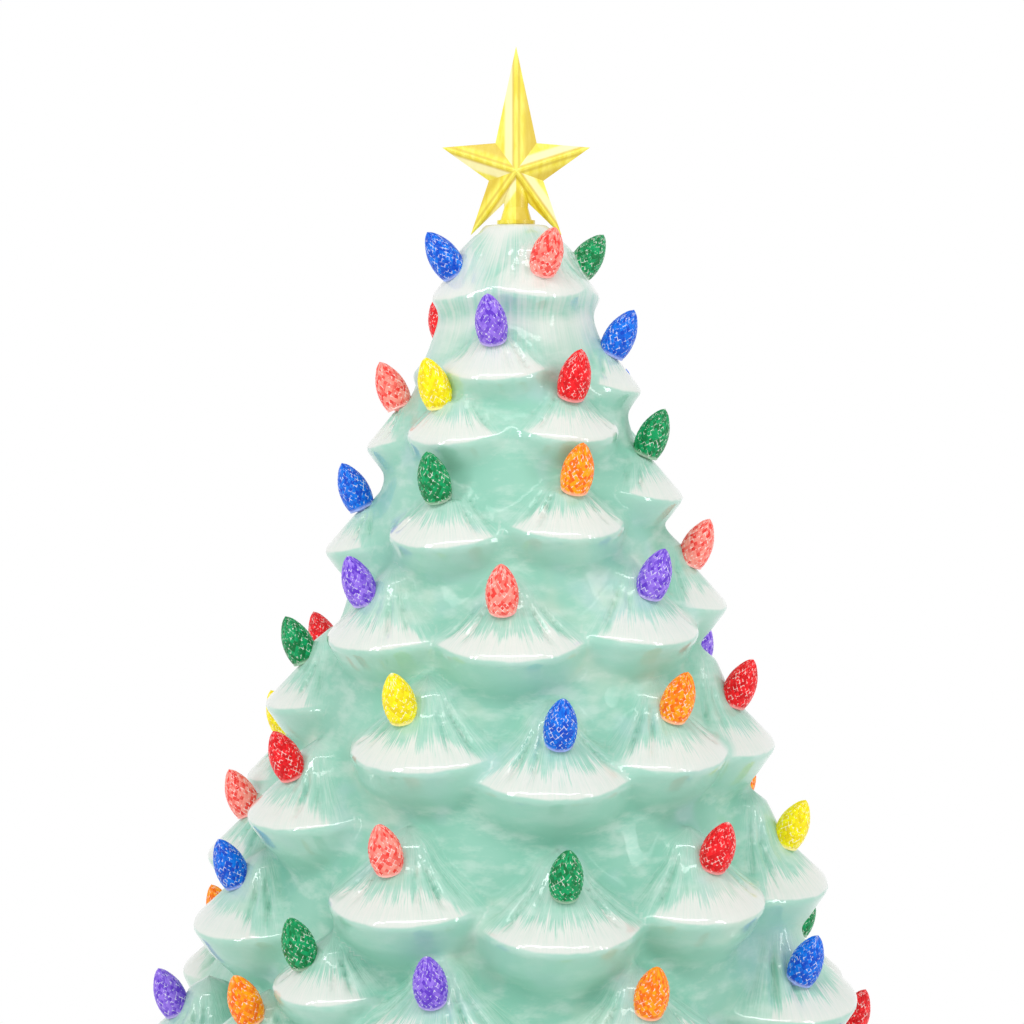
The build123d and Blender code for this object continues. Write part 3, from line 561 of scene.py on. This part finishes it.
def glaze_look():
    """Glaze of the tree with brushed snow on its boughs and streaks round its crown."""
    look = Look("tree_glaze")
    bough, place = look.attribute("bough", "Vector"), look.place()
    deep, clear = look.attribute("deep"), look.attribute("clear")
    turn, along, _ = look.parts(bough)
    across, depth, height = look.parts(place)
    strokes = look.noise(look.spread(bough, STROKES), 1.0, 3.0, 0.65)
    hairs = look.noise(look.spread(bough, HAIRS), 1.0, 2.0, 0.6)
    ragged = look.noise(look.spread(bough, RAGS), 1.0, 2.0)
    high = look.step(height, CROWN_SNOW_LOW, CROWN_SNOW_HIGH)

    # Snow starts at a ragged line under the rim and ends in brush strokes that shorten towards the sides
    aside = abs(turn) / SNOW_TURN + (ragged - 0.5) * 0.25
    taper = look.step(aside, 1.0, 0.55)
    lower = look.step(along + (ragged - 0.5) * 1.6 - aside * aside * 1.6, -0.9, 0.3)
    length = (strokes * 14.0 + hairs * 14.0 - 2.0 + high * 12.0) * taper
    upper = look.step(length - along, 0.0, 5.0)
    snow = lower * upper * clear * (0.6 + hairs * 0.55)

    # Even mint on the bellies, pale hairs on the tops and streaks that follow the crown round
    belly = look.step(along, 0.3, -2.5) * clear
    on_top = look.step(along, 0.0, 2.5) * clear
    bearing = look.reckon("ARCTAN2", across, depth * -1.0)
    swept = look.node("ShaderNodeCombineXYZ", {}, {
        0: bearing * CROWN_STREAKS_ROUND, 1: height * CROWN_STREAKS_UP})
    brushed = look.noise(swept, 1.0, 3.0, 0.6)
    colour = glaze_colour(look, deep, place)
    colour = look.mix(belly * 0.6, colour, MINT)
    colour = look.mix(look.step(hairs * 0.6 + strokes * 0.4, 0.42, 0.66) * on_top * 0.55, colour, MINT_PALE)
    colour = look.mix(look.step(brushed, 0.36, 0.64) * high * 0.7, colour, SNOW)
    colour = look.mix(snow, colour, SNOW)

    valley = look.step(deep, 1.8, -1.2)
    relief = (hairs * 0.6 + strokes) * look.step(along, 2.0, 7.0) * clear
    return look.finish(
        Base_Color=colour, Roughness=0.28 + valley * 0.3, Normal=look.bump(relief, 0.2),
        Specular_IOR_Level=0.3, Coat_Weight=1.0 - valley * 0.9, Coat_Roughness=0.035, Coat_IOR=1.7)


def bisque_look():
    """Unglazed inside of the casting."""
    look = Look("bisque")
    place = look.place()
    grain = look.noise(place, 900.0, 4.0)
    cloud = look.noise(place, 40.0, 3.0)
    colour = look.mix(cloud, srgb(232, 226, 214), srgb(247, 243, 234))
    return look.finish(Base_Color=colour, Roughness=0.75 + grain * 0.2, Normal=look.bump(grain, 0.1))


def base_look():
    """The same glaze on the pedestal."""
    look = Look("base_glaze")
    place = look.place()
    cloud = look.noise(place, 45.0, 3.0)
    # Cloud noise stands in for the hollows here, so the painted hollow shade lies in random patches.
    colour = glaze_colour(look, (cloud - 0.4) * 6.0, place)
    return look.finish(
        Base_Color=colour, Roughness=0.2 + cloud * 0.1, Coat_Weight=1.0, Coat_Roughness=0.04,
        Normal=look.bump(look.noise(place, 120.0), 0.2))


def bulb_look(name, deep, light, glow):
    """Coloured plastic with facets painted lighter and darker as sparkle, white glints painted on facet edges
    and a painted highlight round the foot.
    """
    look = Look(name)
    place = look.place()
    facet, edge, rise = (look.attribute(key) for key in BULB_MARKS)
    cloud = look.noise(place, 260.0, 3.0, 0.6)
    # Painted glints: near-white where a facet's edge meets a patch of fine noise.
    glint = look.step(edge, 0.70, 1.0) * look.step(look.noise(place, 900.0, 1.0), 0.5, 0.66)
    # Painted highlight: a pale band round the bulb's foot.
    foot = look.step(rise, 0.10, 0.02)
    # Painted sparkle: each facet mixes the deep and light tone by its own random share.
    colour = look.mix(look.step(facet * 0.6 + cloud * 0.4, 0.2, 0.8), deep, light)
    colour = look.mix(glint * 0.7 + foot * 0.3, colour, srgb(255, 253, 246))
    return look.finish(
        Base_Color=colour, Roughness=0.15 + cloud * 0.12, Coat_Weight=0.25, Coat_Roughness=0.05,
        Specular_IOR_Level=0.12, Emission_Color=colour, Emission_Strength=glow)


STAR_MIDDLE = 342.3 * MM
STAR_ARMS = 5


def star_look():
    """Yellow plastic with painted light and painted shade on its facets by turns, beside the ridge of each
    arm.
    """
    look = Look("star_gold")
    place = look.place()
    across, _, height = look.parts(place)
    up = height - STAR_MIDDLE
    wedge = look.reckon("ARCTAN2", across, up) * (STAR_ARMS / (2 * math.pi))
    aside = wedge - look.reckon("ROUND", wedge)
    away = look.reckon("SQRT", across * across + up * up)
    off = away * look.reckon("SINE", aside * (2 * math.pi / STAR_ARMS)) / MM
    streaks = look.noise(look.spread(place, (1.0, 1.0, 0.2)), 520.0, 3.0, 0.6)
    # Painted highlight: a pale band on one side of each ridge; painted shade: dark lines beside the ridge and
    # over the facet on the other side.
    pale = look.step(off, -0.7, -1.3) * look.step(off, -4.0, -3.0)
    line = look.step(abs(off), 0.3, 0.8) * look.step(abs(off), 1.6, 1.0)
    shade = look.step(off, 1.6, 3.6)
    colour = look.mix(look.step(streaks, 0.35, 0.7), srgb(232, 214, 44), srgb(246, 234, 96))
    colour = look.mix(pale * 0.7, colour, srgb(250, 244, 196))
    colour = look.mix(line * 0.55 + shade * 0.6, colour, srgb(196, 158, 14))
    return look.finish(
        Base_Color=colour, Roughness=0.3 + streaks * 0.1, Coat_Weight=0.35, Coat_Roughness=0.12,
        Emission_Color=colour, Emission_Strength=0.08)


def plain_look(name, dark, light, rough, scale, depth, metal):
    """Plain material with a cloudy colour and a fine grain."""
    look = Look(name)
    place = look.place()
    cloud = look.noise(place, scale / 12, 3.0)
    grain = look.noise(place, scale, 3.0, 0.6)
    colour = look.mix(cloud, srgb(*dark), srgb(*light))
    return look.finish(
        Base_Color=colour, Roughness=rough + (grain - 0.5) * 0.2, Metallic=metal,
        Normal=look.bump(grain, depth))


# Bulbs: outlines of the peg with its collar and of the egg, as radius and height above the seat

BULB_LENGTH = 16.0
COLLAR, EGG_FOOT = 4.15, 0.8
PEG_OUTLINE = [(0, -9), (1.9, -9), (2.1, -8.7), (2.1, 0.1), (COLLAR, 0.1), (4.25, 0.4), (COLLAR, EGG_FOOT)]
EGG_OUTLINE = [
    (4.1, 0.7), (4.66, 2.6), (4.85, 4.8), (4.74, 7.2), (4.3, 9.4), (3.55, 11.3), (2.55, 13.2), (1.6, 14.6),
    (0.85, 15.5), (0.0, BULB_LENGTH)]
EGG_RADII, EGG_HEIGHTS = zip(*EGG_OUTLINE)
FACETS, RINGS = 20, 17
FACET_RISE = 0.16
RING_CROWDING = 0.93
RING_HEIGHTS = EGG_FOOT + (BULB_LENGTH - EGG_FOOT) * np.linspace(0, 1, RINGS + 1) ** RING_CROWDING
BULB_MARKS = ("facet", "edge", "rise")


def spot(radius, height, step):
    """Point at a facet's step round a bulb."""
    turn = 2 * math.pi * step / FACETS
    return np.array((radius * math.cos(turn), radius * math.sin(turn), height))


def knot(ring, step):
    """Corner of a facet on a ring of the egg, each second ring half a step on."""
    height = RING_HEIGHTS[min(max(ring, 0), RINGS)]
    radius = float(np.interp(height, EGG_HEIGHTS, EGG_RADII)) if ring > 0 else COLLAR
    return spot(radius, height, step + (ring % 2) / 2)


def bulb_form(chance):
    """Points, triangles and marks of one bulb: a peg, a collar and an egg cut with diamond facets."""
    points, faces, marks = [], [], []

    def add(corners, pattern, edges):
        faces.extend(tuple(len(points) + k for k in triangle) for triangle in pattern)
        points.extend(corners)
        # A random share per facet, which the bulb's material paints as sparkle.
        tone = chance.uniform()
        marks.extend((tone, edge, corner[2] / BULB_LENGTH) for corner, edge in zip(corners, edges))

    for low, high in zip(PEG_OUTLINE, PEG_OUTLINE[1:]):
        for i in range(FACETS):
            corners = [spot(*low, i), spot(*low, i + 1), spot(*high, i + 1), spot(*high, i)]
            add(corners, [(0, 1, 2), (0, 2, 3)], (0, 0, 0, 0))
    for ring in range(RINGS):
        shift = ring % 2
        for i in range(FACETS):
            left, right = knot(ring, i), knot(ring, i + 1)
            top = knot(ring + 1, i + shift)
            low = knot(ring - 1, i + shift) if ring else (left + right) / 2
            middle = (left + right + top + low) / 4
            middle[:2] *= 1 + FACET_RISE / max(1.0, math.hypot(*middle[:2]))
            fan = [(0, 1, 4), (1, 2, 4), (2, 3, 4), (3, 0, 4)]
            add([low, right, top, left, middle], fan, (1, 1, 1, 1, 0))
    return np.array(points), np.array(faces), np.array(marks)


def bulb_group(colour, material):
    """All bulbs of one colour as one piece."""
    points, corners, marks = [], [], []
    for bough in BOUGHS:
        if bough.colour == colour:
            form, faces, values = bulb_form(bough.chance)
            turned = form @ np.array(Matrix.Rotation(bough.chance.uniform(0, FULL_TURN), 3, "Z"))
            corners.append(faces + len(form) * len(points))
            points.append(bough.foot + turned @ bough.bulb_axes)
            marks.append(values)
    made = make_mesh("bulb_set_" + colour, np.concatenate(points), np.concatenate(corners), smooth=False)
    for name, values in zip(BULB_MARKS, np.concatenate(marks).T):
        mark(made, name, values)
    made.data.materials.append(material)
    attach(made, "tree_body")
    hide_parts("bulbs_" + colour)
    "bulb_" + colour


# Each colour's deep and light tone, mixed facet by facet as painted sparkle, and its glow
BULB_COLOURS = {
    "blue": (srgb(0, 66, 186), srgb(0, 112, 222), 0.2),
    "green": (srgb(0, 104, 52), srgb(0, 150, 88), 0.22),
    "orange": (srgb(230, 98, 0), srgb(248, 156, 0), 0.24),
    "pink": (srgb(226, 56, 48), srgb(244, 146, 132), 0.24),
    "purple": (srgb(92, 50, 190), srgb(146, 112, 222), 0.2),
    "red": (srgb(198, 0, 12), srgb(240, 26, 34), 0.2),
    "yellow": (srgb(222, 196, 0), srgb(244, 230, 10), 0.22),
}

tree = tree_body(glaze_look(), bisque_look())
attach(tree, "tree_body")
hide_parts("tree_front", "tree_right", "tree_back", "tree_left")
for colour, (deep, light, glow) in BULB_COLOURS.items():
    bulb_group(colour, bulb_look("bulb_" + colour, deep, light, glow))


# Pieces kept from the construction model

# Each plain finish: darker and lighter colour, roughness, grain scale, grain depth, metal, and who wears it
PLAIN_FINISHES = {
    "housing_white": (
        (222, 222, 216), (238, 238, 233), 0.5, 1400, 0.06, 0.0,
        ["module_housing", "lock_ring", "battery_door"]),
    "contact_nickel": (
        (168, 166, 160), (205, 203, 196), 0.32, 900, 0.03, 1.0,
        ["board_screws", "battery_links", "contact_negative", "contact_positive"]),
    "lead_red": ((170, 20, 18), (205, 35, 30), 0.45, 700, 0.03, 0.0, ["lead_positive", "lead_switched"]),
    "moulded_black": (
        (24, 24, 26), (44, 44, 47), 0.5, 1200, 0.05, 0.0,
        ["sealing_washer", "switch_body", "switch_knob", "lead_negative"]),
    "pad_rubber": ((205, 206, 203), (226, 227, 224), 0.7, 1500, 0.08, 0.0, ["foot_pads"]),
    "board_white": ((226, 229, 222), (240, 242, 236), 0.35, 800, 0.03, 0.0, ["led_board"]),
    "emitter_phosphor": ((236, 196, 70), (250, 220, 110), 0.3, 1600, 0.03, 0.0, ["led_emitters"]),
    "diffuser_frost": ((232, 232, 228), (247, 247, 244), 0.6, 1300, 0.06, 0.0, ["led_diffuser"]),
    "cell_wrap": ((48, 53, 60), (70, 76, 84), 0.35, 500, 0.02, 0.0, ["battery_cells"]),
}


def dress(material, *nodes):
    """One material on construction pieces."""
    for node in nodes:
        slots = NODES[node].data.materials
        slots.clear()
        slots.append(material)


dress(star_look(), "star_topper")
dress(base_look(), "base_front", "base_right", "base_back", "base_left")
for name, (*finish, wearers) in PLAIN_FINISHES.items():
    dress(plain_look(name, *finish), *wearers)


# Stage and light, in metres and watts

WHITE = (1, 1, 1, 1)
FLOOR_PAINT = (0.92, 0.92, 0.92, 1)
FLOOR_HALF = 4000
FADE_START, FADE_END = 0.11, 0.25
DAYLIGHT = 0.58
LIGHT_AIM = (0, 0, 0.22)

# Each soft box: place, width, height and power
SOFT_BOXES = {
    "key": ((-0.85, -0.75, 0.6), 0.12, 0.8, 2.7),
    "fill": ((0.95, -0.65, 0.45), 0.12, 0.8, 2.1),
    "top": ((0.0, -0.6, 1.1), 1.3, 0.16, 4.2),
}


def stage_floor():
    """A pale floor that turns to plain white away from the object."""
    look = Look("stage_white")
    far = look.node("ShaderNodeVectorMath", {"operation": "LENGTH"}, {0: look.place()}, 1)
    look.finish(Base_Color=FLOOR_PAINT, Roughness=0.9)
    painted = Wire(look, look.surface.outputs[0])
    white = look.node("ShaderNodeEmission", {}, {"Color": WHITE, "Strength": 1.0})
    fade = look.step(far, FADE_START, FADE_END)
    both = look.node("ShaderNodeMixShader", {}, {0: fade, 1: painted, 2: white})
    look.fill(look.tree.nodes["Material Output"], {0: both})
    corners = [(x, y, 0.0) for y in (-FLOOR_HALF, FLOOR_HALF) for x in (-FLOOR_HALF, FLOOR_HALF)]
    floor = make_mesh("floor", np.array(corners), np.array([(0, 1, 3, 2)]))
    floor.data.materials.append(look.material)


def surroundings():
    """Soft daylight that the eye and reflections see as plain white."""
    world = bpy.data.worlds.new("studio")
    bpy.context.scene.world = world
    world.use_nodes = True
    sky = Nodes(world.node_tree)
    plain = sky.tree.nodes["Background"]
    sky.fill(plain, {"Color": WHITE, "Strength": DAYLIGHT})
    lit = Wire(sky, plain.outputs[0])
    seen = sky.node("ShaderNodeBackground", {}, {"Color": WHITE, "Strength": 1.0})
    ray = sky.node("ShaderNodeLightPath", {}, {}, "Is Camera Ray")
    bright = ray + ray.beside("Is Glossy Ray") + ray.beside("Is Transmission Ray")
    both = sky.node("ShaderNodeMixShader", {}, {0: bright, 1: lit, 2: seen})
    sky.fill(sky.tree.nodes["World Output"], {0: both})


def soft_box(name, place, wide, high, power):
    """A rectangular area light aimed at the tree."""
    light = bpy.data.lights.new(name, "AREA")
    light.shape, light.size, light.size_y, light.energy = "RECTANGLE", wide, high, power
    made = bpy.data.objects.new(name, light)
    made.location = place
    made.rotation_euler = (Vector(LIGHT_AIM) - Vector(place)).to_track_quat("-Z", "Y").to_euler()
    bpy.context.scene.collection.objects.link(made)


stage_floor()
surroundings()
for name, box in SOFT_BOXES.items():
    soft_box(name, *box)


# Camera: the picture's width in pixels, the size of one at the tree's axis, and the column of that axis

PICTURE = 1024
SCALE = 0.32
AXIS_COLUMN = 516
CAMERA_FAR, CAMERA_HIGH, AIM_HIGH = 640.0, 302.0, 234.8
SENSOR = 36


def set_camera():
    """The photograph's view, from a little above the tree's middle."""
    pitch = math.atan((CAMERA_HIGH - AIM_HIGH) / CAMERA_FAR)
    camera = bpy.data.cameras.new("camera")
    camera.sensor_width = SENSOR
    camera.lens = SENSOR * CAMERA_FAR / SCALE / math.cos(pitch) / PICTURE
    eye = bpy.data.objects.new("camera", camera)
    eye.location = ((PICTURE / 2 - AXIS_COLUMN) * SCALE * MM, -CAMERA_FAR * MM, CAMERA_HIGH * MM)
    eye.rotation_euler = (math.pi / 2 - pitch, 0, 0)
    bpy.context.scene.collection.objects.link(eye)
    bpy.context.scene.camera = eye


set_camera()
bpy.context.scene.view_settings.view_transform = "Standard"
